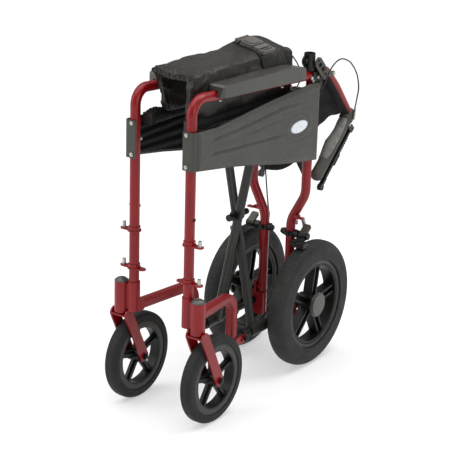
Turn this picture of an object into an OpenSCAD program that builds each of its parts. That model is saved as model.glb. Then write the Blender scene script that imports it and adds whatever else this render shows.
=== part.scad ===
// Folding transport wheelchair, shown folded. Millimetres, +Z up, front towards -Y, sitter's left towards +X.
// The origin is on the floor, under the middle of the folded chair.

/* [Frame] */
// Distance from the middle plane to each front post
post_x = 74; // [70:1:80]
// Outer radius of the red frame tubes
tube_r = 11.1; // [9.5:0.1:12.7]
// Height of the arm tube at the front bend
arm_z = 725; // [700:5:740]
// Distance from the middle plane to the lower rails and the seat rails
rail_x = 54; // [52:0.5:56]
// Height of the lower rails
rail_z = 128; // [124:1:132]
// Radius of the lower rails
rail_r = 10; // [8:0.5:10.5]

/* [Wheels] */
// Radius of a front caster wheel
caster_r = 100; // [90:1:100]
// Distance the caster wheel trails behind its swivel
caster_trail = 55; // [50:1:58]
// Width of a caster tyre
caster_w = 30; // [26:1:31]
// Radius of a rear wheel
rear_r = 152; // [140:1:152]
// Width of a rear tyre
rear_w = 46; // [40:1:46]

/* [Folding brace] */
// Length of a cross tube from its lower pivot to its seat rail
cross_length = 544; // [540:1:548]
// Width of a cross tube across its flats
cross_w = 22; // [20:0.5:24]
// Thickness of a cross tube, front to back
cross_t = 11; // [10:0.5:11.5]

/* [Push handles] */
// Radius of a push grip
grip_r = 15; // [14:0.5:16]
// Length of a push grip
grip_len = 175; // [140:5:180]

/* [Hidden] */

$fn = 64;
left = 1;           // the side that each module is drawn on
right = -1;         // the mirrored side
run_gap = 0.05;     // radial clearance of a turning or fitted part
seam_gap = 0.05;    // space between two parts that only touch

// Side frame
front_post_y = -300;
front_post_foot_z = 231;
rear_post_y = 145;
rear_post_top_z = 709;
rear_foot_x = 37;            // the rear post steps inwards below the joggle
rear_foot_y = 145;
rear_foot_z = 98;
joggle_top_z = 418;
joggle_foot_z = 349;
arm_rear_z = 701.5;
arm_bend_r = 34;
arm_slope = atan2(arm_z - arm_rear_z, rear_post_y - front_post_y);
rear_wheel_y = 152;
rear_wheel_x = 91;
axle_r = 6;

// Caster
swivel_x = 104.5;
swivel_y = -305;
housing_z0 = 222;
housing_z1 = 293;
housing_r = 16;
sleeve_r = 13.5;
stem_r = 6;
caster_axle_y = swivel_y + caster_trail;
caster_axle_r = 4;
leg_inset = caster_w / 2 + 3.5;   // from the wheel's middle plane to the inner face of a fork leg
leg_t = 4;
leg_w = 26;
crown_z = 213.5;

// Cross brace, folded
fold_half = cross_length / 2;
fold_angle = asin(rail_x / fold_half);          // angle of a cross tube from vertical
bolt_z = rail_z + fold_half * cos(fold_angle);
seat_rail_z = rail_z + cross_length * cos(fold_angle);
seat_rail_r = 11;
cross_a_y = -17.5;
cross_b_y = -29;
cross_shift = 8;                 // each cross tube lies this far outside the line of the bolt
lug_r = 13;
bolt_r = 5;

// Back, folded down: the tube runs from the hinge to the handle bend
hinge = [post_x, 162, 715];
hinge_pin_r = 4;
back_start = [post_x, 204, 701];
back_knee = [post_x, 251, 657];
handle_bend = [post_x, 317, 577];
grip_angle = 133.4;                               // the grip's own direction, turned about X from straight up
grip_start = 14;                                // from the handle bend to the near end of the grip

// Brake
brake_pivot_z = 317;
brake_pin_r = 5;

function unit(v) = v / norm(v);

module on_side(side) mirror([side < 0 ? 1 : 0, 0, 0]) children();

module x_cylinder(x0, x1, r) translate([x0, 0, 0]) rotate([0, 90, 0]) cylinder(r = r, h = x1 - x0);
module y_cylinder(y0, y1, r) translate([0, y1, 0]) rotate([90, 0, 0]) cylinder(r = r, h = y1 - y0);

// One bend of a tube at corner b, with the straight runs before and after it.
module elbow(a, b, c, r, bend_r, before, after) {
  into = unit(b - a);
  out = unit(c - b);
  turn = acos(into * out);
  side = unit(out - (into * out) * into);
  start = b - into * bend_r * tan(turn / 2);
  centre = start + side * bend_r;
  axis = cross(-side, into);
  core_r = r - 0.05;
  multmatrix([for (i = [0:2]) [-side[i], into[i], axis[i], centre[i]]]) {
    rotate_extrude(angle = turn) translate([bend_r, 0]) circle(r = r);
    if (before > 0) translate([bend_r, 0, 0]) rotate([90, 0, 0]) cylinder(r = r, h = before);
    translate([bend_r, before > 0 ? 0 : 1, 0]) rotate([90, 0, 0]) cylinder(r = core_r, h = 2);
    rotate(turn) translate([bend_r, 0, 0]) rotate([-90, 0, 0]) cylinder(r = r, h = after);
    rotate(turn) translate([bend_r, -1, 0]) rotate([-90, 0, 0]) cylinder(r = core_r, h = 2);
  }
}

function bend_trim(a, b, c, bend_r) = bend_r * tan(acos(unit(b - a) * unit(c - b)) / 2);

// A round tube along points, with one bend radius for each inner corner.
module bent_tube(points, r, radii) {
  last = len(points) - 1;
  trims = [for (i = [0:last]) i == 0 || i == last ? 0
           : bend_trim(points[i - 1], points[i], points[i + 1], radii[i - 1])];
  for (i = [1:last - 1])
    elbow(points[i - 1], points[i], points[i + 1], r, radii[i - 1],
          i == 1 ? norm(points[1] - points[0]) - trims[1] : 0,
          norm(points[i + 1] - points[i]) - trims[i] - trims[i + 1]);
}

// Section of the drawn square tube: rounded corners and a shallow groove along each broad face.
module grooved_section(w, d, corner, groove) {
  difference() {
    union() {
      square([w - 2 * corner, d], center = true);
      square([w, d - 2 * corner], center = true);
      for (x = [-1, 1], y = [-1, 1]) translate([x * (w / 2 - corner), y * (d / 2 - corner)]) circle(r = corner);
    }
    for (y = [-1, 1]) translate([0, y * (d / 2 + groove)]) circle(r = 2 * groove);
  }
}

module rounded_bar(length, width) {
  translate([0, -width / 2]) square([length, width]);
  circle(r = width / 2);
  translate([length, 0]) circle(r = width / 2);
}

// ---- side frame -------------------------------------------------------------------------------------

module front_tube(side) {
  stop_z = 466;
  color("firebrick") on_side(side) {
    difference() {
      bent_tube([[post_x, front_post_y, front_post_foot_z], [post_x, front_post_y, arm_z],
                 [post_x, rear_post_y, arm_rear_z]], tube_r, [arm_bend_r]);
      translate([post_x, rear_post_y, arm_rear_z - 30]) cylinder(r = tube_r + seam_gap, h = 60);
    }
    translate([post_x, front_post_y + tube_r - 1, stop_z]) y_cylinder(0, 6, 4);
  }
}

module rear_post(side) {
  plate_t = 4;
  color("firebrick") on_side(side) {
    difference() {
      union() {
        bent_tube([[post_x, rear_post_y, rear_post_top_z], [post_x, rear_post_y, joggle_top_z],
                   [rear_foot_x, rear_foot_y, joggle_foot_z], [rear_foot_x, rear_foot_y, rear_foot_z]],
                  tube_r, [60, 60]);
        translate([rear_foot_x + 8, rear_foot_y - 15, 100]) cube([plate_t + 3, 34, 78]);
        translate([rear_foot_x - 13, rear_foot_y - 15, 96]) cube([42, plate_t, 56]);
      }
      translate([0, rear_wheel_y, rear_r]) x_cylinder(20, 80, axle_r + run_gap);
    }
    for (z = [125, 167]) translate([rear_foot_x, rear_foot_y, z]) y_cylinder(-15, -10, 5);
    translate([post_x - 12, rear_post_y - 17, 360]) cube([16, 10, 4]);
    translate([post_x - 24, rear_post_y - 10, 358]) cube([14, 8, 8]);
  }
}

module caster_housing(side) {
  color("firebrick") on_side(side) difference() {
    union() {
      translate([post_x, front_post_y, 229]) cylinder(r = sleeve_r, h = 68);
      translate([swivel_x, swivel_y, housing_z0]) cylinder(r = housing_r, h = housing_z1 - housing_z0);
      translate([post_x + 6, front_post_y - 9, 232]) cube([20, 13, 58]);
    }
    translate([post_x, front_post_y, front_post_foot_z - seam_gap]) cylinder(r = tube_r + run_gap, h = 80);
    translate([swivel_x, swivel_y, housing_z0 - 1]) cylinder(r = stem_r + run_gap, h = 61);
  }
}

module housing_cap(side) {
  dome_r = 19;
  dome_h = 7;
  color("dimgray") on_side(side) translate([swivel_x, swivel_y, housing_z1 + seam_gap]) {
    cylinder(r = housing_r - 0.5, h = 2);
    intersection() {
      translate([0, 0, 2 + dome_h - dome_r]) sphere(r = dome_r);
      translate([0, 0, 1.5]) cylinder(r = housing_r - 0.5, h = 20);
    }
  }
}

module front_arch(side) {
  reach = 191;
  bend = 35;
  coped_end = 21;
  top_z = 240;
  foot_z = 117;
  turn = atan2(post_x - rail_x, 190);
  way = [-sin(turn), cos(turn), 0];
  post = [post_x, front_post_y, top_z];
  w = 23;
  color("firebrick") on_side(side) {
    swept(bent_path([post + coped_end * way, post + reach * way, post + reach * way - [0, 0, top_z - foot_z]],
                    [bend], 10), rounded_ring(w, 7), [way[1], -way[0], 0]);
    translate(post) rotate([0, 0, 90 + turn]) difference() {
      translate([4, -w / 2, -w / 2]) cube([coped_end - 4 - run_gap, w, w]);
      translate([0, 0, -30]) cylinder(r = sleeve_r + seam_gap, h = 60);
    }
    translate([rail_x + 12, -110, foot_z]) cube([3, 37.8, 20]);
    translate([rail_x, -86, rail_z - 2]) x_cylinder(14, 18, 4);
  }
}

module lower_rail(side) {
  color([0.13, 0.13, 0.13]) on_side(side) translate([rail_x, 0, rail_z]) {
    y_cylinder(-97.5, rear_foot_y - 15 - seam_gap, rail_r);
    for (y = [-72, 22]) y_cylinder(y, y + 4, rail_r + 3);
  }
}

// Flat strap on the front post that carries one footrest pin.
module hanger_strap(z, inner) {
  translate([post_x, front_post_y, z]) linear_extrude(3) difference() {
    union() {
      translate([-inner, 0]) rounded_bar(28 + inner, 17);
      circle(r = tube_r + 4);
    }
    circle(r = tube_r + run_gap);
  }
}

hanger_z = [412.5, 327.5];
hanger_pin_x = post_x + 28;
hanger_pin_r = 4;
hanger_pin_len = 13;

module hanger_bracket(side) {
  color("firebrick") on_side(side) {
    hanger_strap(hanger_z[0], 0);
    hanger_strap(hanger_z[1], 22);
    for (z = hanger_z) translate([post_x, front_post_y, z + 6]) difference() {
      cylinder(r = tube_r + 2, h = 10, center = true);
      cylinder(r = tube_r + run_gap, h = 12, center = true);
    }
  }
}

panel_x = 90;           // middle of the side panel's sheet
panel_t = 3;
flange_y = front_post_y - tube_r - seam_gap;

module zinc_fittings(side) {
  color("silver") on_side(side) {
    for (z = hanger_z) translate([hanger_pin_x, front_post_y, z + 3 + seam_gap]) {
      cylinder(r = hanger_pin_r, h = hanger_pin_len);
      cylinder(r = hanger_pin_r + 1.5, h = 1);
    }
    for (z = [586, 654]) translate([post_x - 2, flange_y - panel_t - seam_gap, z]) {
      y_cylinder(-2, 0, 4.5);
      y_cylinder(-3, -1, 2.5);
    }
    for (y = [-206, 25]) translate([post_x + 1, y, arm_tube_z(y) - tube_r - 3]) cylinder(r = 4, h = 2.5);
    translate([post_x + tube_r - 1 + 1.2, 129, 698]) x_cylinder(0, 3, 4);
  }
}

// Height of the arm tube's middle at distance y along the chair.
function arm_tube_z(y) =
  arm_z + (y - front_post_y) * (arm_rear_z - arm_z) / (rear_post_y - front_post_y);

module arm_pad(side) {
  pad_w = 40;
  pad_x = 60;
  profile = [[-231, 719], [-225, 741], [-219, 744.5], [34, 741], [78, 734], [96, 719], [96, 704]];
  plan = [[pad_x + 6, -232], [pad_x + pad_w - 8, -232], [pad_x + pad_w, -221], [pad_x + pad_w, 84],
          [pad_x + pad_w - 10, 97], [pad_x + 10, 97], [pad_x, 84], [pad_x, -223]];
  color([0.31, 0.30, 0.28]) on_side(side) difference() {
    intersection() {
      translate([pad_x, 0, 0]) rotate([90, 0, 90]) linear_extrude(pad_w) polygon(profile);
      translate([0, 0, 690]) linear_extrude(70) polygon(plan);
    }
    translate([post_x, 0, arm_tube_z(0)]) rotate([-arm_slope, 0, 0])
      translate([-tube_r - seam_gap, -250, -40]) cube([2 * (tube_r + seam_gap), 350, 40 + tube_r + seam_gap]);
  }
}

module side_panel(side) {
  outline = [[-307, 578], [-184, 561], [-109, 548], [5, 525], [81, 513], [157, 503], [157, 678], [149, 685],
             [119, 687], [43, 683], [-30, 678], [-101, 671], [-169, 664], [-235, 658], [-307, 660]];
  corner = 8;
  color([0.30, 0.30, 0.28]) on_side(side) {
    translate([panel_x - panel_t / 2, 0, 0]) rotate([90, 0, 90]) linear_extrude(panel_t) polygon(outline);
    translate([0, 0, 578]) linear_extrude(82) {
      translate([post_x - 12, flange_y - panel_t])
        square([panel_x + panel_t / 2 - corner - post_x + 12, panel_t]);
      intersection() {
        translate([panel_x + panel_t / 2 - corner, flange_y - panel_t + corner]) difference() {
          circle(r = corner);
          circle(r = corner - panel_t);
        }
        translate([panel_x + panel_t / 2 - corner, flange_y - panel_t]) square(corner);
      }
    }
  }
}

// ---- folding back -----------------------------------------------------------------------------------

module back_socket(side) {
  socket_z = 713.8;
  socket_h = 32;
  slot_turn = 35;      // the slot runs right through, at this angle from the side
  color([0.12, 0.12, 0.12]) on_side(side) {
    translate([post_x, rear_post_y - 9, socket_z]) difference() {
      cylinder(r = 13, h = socket_h);
      translate([0, 0, 6]) cylinder(r = tube_r, h = socket_h);
      rotate([0, 0, slot_turn]) translate([-9, -20, 12]) cube([4.5, 40, 15]);
    }
    translate([post_x - 9, rear_post_y - 2, socket_z]) cube([18, 16, 10]);
    translate([post_x - 9, rear_post_y + 13, 690]) cube([18, 8, 22]);
    translate([0, hinge[1], hinge[2]]) {
      x_cylinder(post_x - 19, post_x + 22, hinge_pin_r);
      translate([post_x - 9, -5.5, -14]) cube([18, 14.5, 23]);
    }
  }
}

// The back's two hinge plates. The outer one runs outside the side panel, and a strap holds it to the tube.
module hinge_plate(side) {
  plate_t = 3.5;
  inner_x = post_x - 17.75;
  outer_x = post_x + 17.75;
  strap_end = [208, 697.3];
  color([0.30, 0.30, 0.28]) on_side(side) {
    for (x = [inner_x, outer_x]) translate([x, 0, 0]) rotate([90, 0, 90]) linear_extrude(plate_t) difference() {
      union() {
        translate([144, 732]) rotate(-46) rounded_bar(42, 26);
        if (x == outer_x) translate([173, 702]) rotate(-7.6) rounded_bar(35.3, 12);
      }
      translate([hinge[1], hinge[2]]) circle(r = hinge_pin_r + run_gap);
    }
    translate([0, strap_end[0], strap_end[1]]) x_cylinder(post_x + tube_r + seam_gap, outer_x + 1, 4);
  }
}

module in_grip() translate(handle_bend) rotate([grip_angle, 0, 0]) children();

module back_tube(side) {
  grip_way = [0, -sin(grip_angle), cos(grip_angle)];
  color("firebrick") on_side(side)
    swept(bent_path([back_start, back_knee, handle_bend, handle_bend + (grip_start + 110) * grip_way],
                    [200, 14], 9), round_ring(tube_r, 40), [1, 0, 0]);
}

lever_x = 10;           // the lever lies on the outer side of the grip
lever_y = -19;
lever_pivot_z = 28;
lever_len = 166;

module grip(side) {
  ear_t = 4;
  color([0.35, 0.35, 0.33]) on_side(side) in_grip() difference() {
    union() {
      translate([0, 0, grip_start]) rotate_extrude() polygon([
        [0, 0], [grip_r + 2, 0], [grip_r + 2, 10], [grip_r, 18], [grip_r, 60], [grip_r + 1.5, 90],
        [grip_r, 130], [grip_r, grip_len - 14], [grip_r + 1.5, grip_len - 8], [grip_r - 2, grip_len],
        [0, grip_len]]);
      for (x = [lever_x - 5 - ear_t - run_gap, lever_x + 5 + run_gap])
        translate([x, lever_y - 5, lever_pivot_z - 7]) cube([ear_t, 20, 14]);
      translate([0, lever_y + 9, lever_pivot_z - 7]) cube([lever_x + 5 + run_gap + ear_t, 6, 14]);
    }
    translate([0, 0, -1]) cylinder(r = tube_r + run_gap, h = grip_start + 112);
    translate([0, lever_y, lever_pivot_z]) x_cylinder(-20, 40, 3 + run_gap);
    translate([lever_x - 5 - run_gap, lever_y - 9, lever_pivot_z - 9]) cube([10 + 2 * run_gap, 16.5, 18]);
  }
}

module brake_lever(side) {
  color([0.18, 0.18, 0.18]) on_side(side) in_grip() translate([lever_x - 5, lever_y, lever_pivot_z]) {
    x_cylinder(0, 10, 6);
    x_cylinder(-5, 15, 3);
    rotate([90, 0, 90]) linear_extrude(10) {
      translate([-4, 0]) square([7, lever_len - 24]);
      translate([-6, lever_len - 25]) square([7, 26]);
      translate([-4, lever_len]) circle(r = 8);
    }
  }
}

// ---- brake ------------------------------------------------------------------------------------------

module brake_clamp(side) {
  color([0.14, 0.14, 0.14]) on_side(side) difference() {
    translate([rear_foot_x, rear_foot_y, brake_pivot_z]) {
      cylinder(r = tube_r + 5, h = 22, center = true);
      x_cylinder(-20, -14, 7);
      x_cylinder(14, 47, brake_pin_r);
      x_cylinder(14, 26, 8);
      x_cylinder(47, 50, 8);
    }
    translate([rear_foot_x, rear_foot_y, 200]) cylinder(r = tube_r + run_gap, h = 200);
  }
}

module brake_arm(side) {
  color([0.20, 0.20, 0.20]) on_side(side) {
    difference() {
      union() {
        translate([0, rear_foot_y, brake_pivot_z]) x_cylinder(64, 83.5, 9);
        translate([68, 100, 306.5]) cube([14, 48, 9]);
        translate([0, rear_foot_y, brake_pivot_z]) rotate([38, 0, 0]) translate([66, 0, 2]) cube([17.5, 24, 5]);
      }
      translate([0, rear_foot_y, brake_pivot_z]) x_cylinder(60, 90, brake_pin_r + run_gap);
    }
    translate([68, 98, 304.6]) cube([36, 22, 9]);
  }
}

// Catmull-Rom point between b and c.
function spline(a, b, c, d, t) =
  0.5 * (2 * b + (c - a) * t + (2 * a - 5 * b + 4 * c - d) * t * t + (3 * b - a - 3 * c + d) * t * t * t);

function smooth_path(points, steps) = [
  for (i = [0:len(points) - 2]) for (k = [0:steps - 1])
    spline(points[max(i - 1, 0)], points[i], points[i + 1], points[min(i + 2, len(points) - 1)], k / steps),
  points[len(points) - 1]];

// The brake cable's route, from the lever down behind the panel to the brake arm.
cable_points = [
  [94, 312, 576], [91, 319, 597], [85, 335, 614], [82, 345, 638], [84, 330, 673], [88, 294, 706],
  [92, 257, 722], [98, 228, 727], [101, 204, 724], [102, 184, 713], [101, 173, 698], [97, 170, 684],
  [88, 169, 664], [78, 169, 628],
  [74, 170, 580], [62, 166, 510], [54, 165, 450], [46, 165, 385], [40, 165, 345]];
cable_r = 2.5;
cable_sides = 8;
cable_rings = smooth_path(cable_points, 5);

// Points of a round section.
function round_ring(r, sides) = [for (k = [0:sides - 1]) r * [cos(360 * k / sides), sin(360 * k / sides)]];

// Points of a square section with rounded corners.
function rounded_ring(w, corner) = let (c = w / 2 - corner)
  [for (q = [0:3]) for (a = [0:15:90]) let (turn = 90 * q, p = [c + corner * cos(a), c + corner * sin(a)])
    [p[0] * cos(turn) - p[1] * sin(turn), p[0] * sin(turn) + p[1] * cos(turn)]];

// The middle line of a tube: straight runs between corner points, with a round bend at each inner corner.
function bend_points(a, b, c, bend_r, steps) =
  let (into = unit(b - a), out = unit(c - b), turn = acos(into * out), side = unit(out - (into * out) * into),
       start = b - into * bend_r * tan(turn / 2), centre = start + side * bend_r)
  [for (k = [0:steps]) centre - side * bend_r * cos(turn * k / steps) + into * bend_r * sin(turn * k / steps)];

function bent_path(points, radii, steps) = let (last = len(points) - 1) [
  points[0],
  for (i = [1:last - 1]) each bend_points(points[i - 1], points[i], points[i + 1], radii[i - 1], steps),
  points[last]];

// A section swept along a path. flat is the direction that the section's x axis keeps.
module swept(path, section, flat) {
  last = len(path) - 1;
  sides = len(section);
  ways = [for (i = [0:last]) unit(path[min(i + 1, last)] - path[max(i - 1, 0)])];
  rings = [for (i = [0:last]) let (u = unit(flat - (flat * ways[i]) * ways[i]), v = cross(ways[i], u))
           for (p = section) path[i] + p[0] * u + p[1] * v];
  walls = [for (i = [0:last - 1]) for (k = [0:sides - 1]) let (n = (k + 1) % sides)
           each [[i * sides + k, (i + 1) * sides + k, (i + 1) * sides + n],
                 [i * sides + k, (i + 1) * sides + n, i * sides + n]]];
  polyhedron(rings, concat(walls, [[for (k = [0:sides - 1]) k]],
                           [[for (k = [sides - 1:-1:0]) last * sides + k]]));
}

module brake_cable(side) {
  color([0.15, 0.15, 0.15]) on_side(side) swept(cable_rings, round_ring(cable_r, cable_sides), [1, 0, 0]);
}

// ---- folding brace ----------------------------------------------------------------------------------

// One cross tube with its pivot sleeve below and its seat rail above. It leans towards the other side.
module cross_tube(side, y, sleeve_y0, sleeve_y1) {
  color([0.24, 0.24, 0.22]) on_side(side) {
    difference() {
      union() {
        translate([rail_x - cross_shift, y, rail_z]) rotate([0, -fold_angle, 0])
          linear_extrude(cross_length) grooved_section(cross_w, cross_t, 5, 1.2);
        translate([0, 0, bolt_z]) y_cylinder(y - cross_t / 2, y + cross_t / 2, lug_r);
        translate([rail_x, 0, rail_z]) y_cylinder(sleeve_y0, sleeve_y1, rail_r + 4);
        translate([-rail_x, 0, seat_rail_z]) {
          y_cylinder(-281, 126, seat_rail_r);
          for (end = [-285, 118]) translate([-12, end, -12]) cube([24, 12, 24]);
        }
      }
      translate([rail_x, 0, rail_z]) y_cylinder(-100, 60, rail_r + run_gap);
      translate([0, 0, bolt_z]) y_cylinder(-90, 60, bolt_r + run_gap);
    }
  }
}

module cross_a() cross_tube(left, cross_a_y, -40, 18);
module cross_b() cross_tube(right, cross_b_y, -64, -6);

module cross_bolt() {
  front = cross_b_y - cross_t / 2;
  rear = cross_a_y + cross_t / 2;
  color([0.12, 0.12, 0.12]) translate([0, 0, bolt_z]) {
    y_cylinder(front - 20, rear + 26, bolt_r);
    y_cylinder(front - 22, front - 14, 8);
    y_cylinder(front - 4, front - seam_gap, 11);
    y_cylinder(front + cross_t + seam_gap, rear - cross_t - seam_gap, 12);
    y_cylinder(rear + seam_gap, rear + 8, 9);
    y_cylinder(rear + 20, rear + 27, 7);
  }
}

// ---- wheels -----------------------------------------------------------------------------------------

// Outline of a tyre's section, from radius r0 to r1, with round shoulders.
module tyre_section(r0, r1, w, shoulder) {
  translate([r0, -w / 2]) square([r1 - r0 - shoulder, w]);
  translate([r0, -w / 2 + shoulder]) square([r1 - r0, w - 2 * shoulder]);
  for (z = [-1, 1]) translate([r1 - shoulder, z * (w / 2 - shoulder)]) circle(r = shoulder);
}

module wheel_place(x, y, z) translate([x, y, z]) rotate([0, 90, 0]) children();

module caster_fork(side) {
  leg_len = norm([caster_trail, crown_z + 2 - caster_r]);
  leg_angle = atan2(crown_z + 2 - caster_r, caster_trail);
  nut_x = leg_inset + leg_t;
  color("firebrick") on_side(side) {
    translate([swivel_x, swivel_y, 0]) {
      translate([-nut_x, -leg_w / 2, crown_z]) cube([2 * nut_x, leg_w, leg_t]);
      translate([0, 0, crown_z + leg_t - 1]) cylinder(r = 10, h = housing_z0 - crown_z - leg_t + 0.9);
      translate([0, 0, crown_z]) cylinder(r = stem_r, h = 66);
      for (x = [-nut_x, leg_inset]) translate([x, 0, crown_z + 2]) rotate([90, 0, 90])
        linear_extrude(leg_t) rotate(-leg_angle) rounded_bar(leg_len, leg_w);
    }
    translate([swivel_x, caster_axle_y, caster_r]) {
      x_cylinder(-nut_x, nut_x, caster_axle_r);
      for (x = [-nut_x - 3, nut_x]) x_cylinder(x, x + 3, 6.5);
    }
  }
}

module caster_rim(side) {
  hub_w = 2 * leg_inset - 1;
  color([0.15, 0.15, 0.14]) on_side(side) wheel_place(swivel_x, caster_axle_y, caster_r) difference() {
    union() {
      rotate_extrude() difference() {
        translate([64, -12]) square([16 - seam_gap, 24]);
        for (z = [-1, 1]) translate([71, z * 14]) square([9, 8], center = true);
      }
      cylinder(r = 17, h = hub_w, center = true);
      for (k = [0:4]) rotate(72 * k + 38) {
        translate([14, -3, -8]) cube([53, 6, 16]);
        translate([14, -8, -3]) cube([52, 16, 6]);
      }
    }
    cylinder(r = caster_axle_r + run_gap, h = 60, center = true);
  }
}

module caster_tyre(side) {
  color([0.21, 0.21, 0.21]) on_side(side) wheel_place(swivel_x, caster_axle_y, caster_r)
    rotate_extrude() tyre_section(80, caster_r, caster_w, 10);
}

module rear_rim(side) {
  rim_out = rear_r - 44;
  color([0.15, 0.15, 0.14]) on_side(side) {
    wheel_place(rear_wheel_x, rear_wheel_y, rear_r) difference() {
      union() {
        rotate_extrude() difference() {
          translate([rim_out - 16, -17]) square([16 - seam_gap, 34]);
          for (z = [-1, 1]) translate([rim_out - 7, z * 20]) square([9, 12], center = true);
        }
        cylinder(r = 21, h = 46, center = true);
        for (k = [0:4]) rotate(72 * k + 26) {
          translate([15, -11, -3]) cube([80, 22, 6]);
          for (y = [-11, 6]) translate([15, y, -12]) cube([79, 5, 24]);
        }
      }
      cylinder(r = axle_r + run_gap, h = 80, center = true);
    }
  }
}

module rear_tyre(side) {
  color([0.22, 0.22, 0.22]) on_side(side) wheel_place(rear_wheel_x, rear_wheel_y, rear_r)
    rotate_extrude() tyre_section(rear_r - 44, rear_r, rear_w, 19);
}

module hub_cap(side) {
  color([0.32, 0.32, 0.30]) on_side(side) translate([0, rear_wheel_y, rear_r]) {
    x_cylinder(rear_wheel_x + 23 + seam_gap, rear_wheel_x + 28, 29);
    x_cylinder(rear_wheel_x + 28, rear_wheel_x + 30, 26);
  }
}

// ---- soft parts -------------------------------------------------------------------------------------

seat_front = -276;
seat_rear = 108;
seat_top_z = 774;
seat_pad = 16;
seat_half = 57;

module seat_side(side) {
  foot_z = seat_rail_z + seat_rail_r + 2;
  color([0.20, 0.20, 0.20]) on_side(side)
    translate([seat_half - seat_pad + 1, seat_front, foot_z])
      cube([seat_pad - 2, seat_rear - seat_front, seat_top_z - seat_pad - foot_z - 1]);
}

module seat_top(side) {
  color([0.22, 0.22, 0.21]) on_side(side) translate([0.5, seat_front, seat_top_z - seat_pad])
    cube([seat_half - 0.5, seat_rear - seat_front, seat_pad]);
}

module belt_buckle() {
  color([0.25, 0.25, 0.25]) translate([14, 8, seat_top_z + 2]) rotate([0, 0, 20]) {
    translate([-26, -16, 0]) cube([52, 32, 11]);
    translate([-40, -13, 2]) cube([80, 26, 5]);
  }
}

// A four-cornered soft sheet, as thick as the small cubes at its corners.
module soft_sheet(corners, t) hull() for (p = corners) translate(p) cube(t, center = true);

module back_upper(side) {
  top_fold = [[14, 172, 640], [14, 275, 550]];
  color([0.13, 0.13, 0.13]) on_side(side) {
    soft_sheet(concat([[58, 198, 682], [58, 298, 590]], top_fold), 5);
    soft_sheet(concat([[4, 240, 438], [4, 158, 464]], top_fold), 5);
  }
}

module back_lower(side) {
  color([0.13, 0.13, 0.13]) on_side(side)
    soft_sheet([[56, 139, 640], [56, 139, 505], [4, 75, 485], [4, 75, 620]], 5);
}

front_tube(left);  // front_tube_left
front_tube(right);  // front_tube_right
rear_post(left);  // rear_post_left
rear_post(right);  // rear_post_right
caster_housing(left);  // caster_housing_left
caster_housing(right);  // caster_housing_right
housing_cap(left);  // housing_cap_left
housing_cap(right);  // housing_cap_right
front_arch(left);  // front_arch_left
front_arch(right);  // front_arch_right
lower_rail(left);  // lower_rail_left
lower_rail(right);  // lower_rail_right
hanger_bracket(left);  // hanger_bracket_left
hanger_bracket(right);  // hanger_bracket_right
zinc_fittings(left);  // zinc_fittings_left
zinc_fittings(right);  // zinc_fittings_right
arm_pad(left);  // arm_pad_left
arm_pad(right);  // arm_pad_right
side_panel(left);  // side_panel_left
side_panel(right);  // side_panel_right
back_socket(left);  // back_socket_left
back_socket(right);  // back_socket_right
hinge_plate(left);  // hinge_plate_left
hinge_plate(right);  // hinge_plate_right
back_tube(left);  // back_tube_left
back_tube(right);  // back_tube_right
grip(left);  // grip_left
grip(right);  // grip_right
brake_lever(left);  // brake_lever_left
brake_lever(right);  // brake_lever_right
brake_clamp(left);  // brake_clamp_left
brake_clamp(right);  // brake_clamp_right
brake_arm(left);  // brake_arm_left
brake_arm(right);  // brake_arm_right
brake_cable(left);  // brake_cable_left
brake_cable(right);  // brake_cable_right
cross_a();
cross_b();
cross_bolt();
caster_fork(left);  // caster_fork_left
caster_fork(right);  // caster_fork_right
caster_rim(left);  // caster_rim_left
caster_rim(right);  // caster_rim_right
caster_tyre(left);  // caster_tyre_left
caster_tyre(right);  // caster_tyre_right
rear_rim(left);  // rear_rim_left
rear_rim(right);  // rear_rim_right
rear_tyre(left);  // rear_tyre_left
rear_tyre(right);  // rear_tyre_right
hub_cap(left);  // hub_cap_left
hub_cap(right);  // hub_cap_right
seat_side(left);  // seat_side_left
seat_side(right);  // seat_side_right
seat_top(left);  // seat_top_left
seat_top(right);  // seat_top_right
back_upper(left);  // back_upper_left
back_upper(right);  // back_upper_right
back_lower(left);  // back_lower_left
back_lower(right);  // back_lower_right
belt_buckle();
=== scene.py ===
import math

import bmesh
import bpy
import numpy as np
from mathutils import Euler, Matrix, Vector, noise


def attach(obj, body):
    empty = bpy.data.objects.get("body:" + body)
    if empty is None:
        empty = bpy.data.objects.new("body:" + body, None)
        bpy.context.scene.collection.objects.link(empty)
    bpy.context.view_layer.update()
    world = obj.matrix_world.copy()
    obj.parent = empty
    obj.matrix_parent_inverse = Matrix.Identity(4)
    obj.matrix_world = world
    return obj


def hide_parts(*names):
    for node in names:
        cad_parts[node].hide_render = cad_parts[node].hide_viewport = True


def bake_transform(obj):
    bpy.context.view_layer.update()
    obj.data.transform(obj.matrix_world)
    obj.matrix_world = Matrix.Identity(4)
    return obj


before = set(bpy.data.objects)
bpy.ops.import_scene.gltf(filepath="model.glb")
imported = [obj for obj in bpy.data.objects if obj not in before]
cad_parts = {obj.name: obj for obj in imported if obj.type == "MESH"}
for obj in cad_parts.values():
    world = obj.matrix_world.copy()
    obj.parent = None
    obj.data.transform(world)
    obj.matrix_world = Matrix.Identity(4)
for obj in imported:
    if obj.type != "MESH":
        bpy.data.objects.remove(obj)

MM = 0.001
SCENE = bpy.context.scene

# ---- camera ----------------------------------------------------------------------------------------
# The camera stands in front of the sitter's left side, a little above the chair, with a long lens.
camera_data = bpy.data.cameras.new("camera")
camera_data.lens, camera_data.sensor_width = 119.164, 36.0
CAMERA_DIP, CAMERA_TURN, CAMERA_ROLL = 18.884, 35.267, 1.693
camera = bpy.data.objects.new("camera", camera_data)
SCENE.collection.objects.link(camera)
camera.location = (1.8782, -2.7055, 1.4778)
looking = Euler((math.radians(90 - CAMERA_DIP), 0, math.radians(CAMERA_TURN)), "XYZ").to_matrix()
camera.rotation_euler = (looking @ Matrix.Rotation(math.radians(CAMERA_ROLL), 3, "Z")).to_euler()
SCENE.camera = camera

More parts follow.
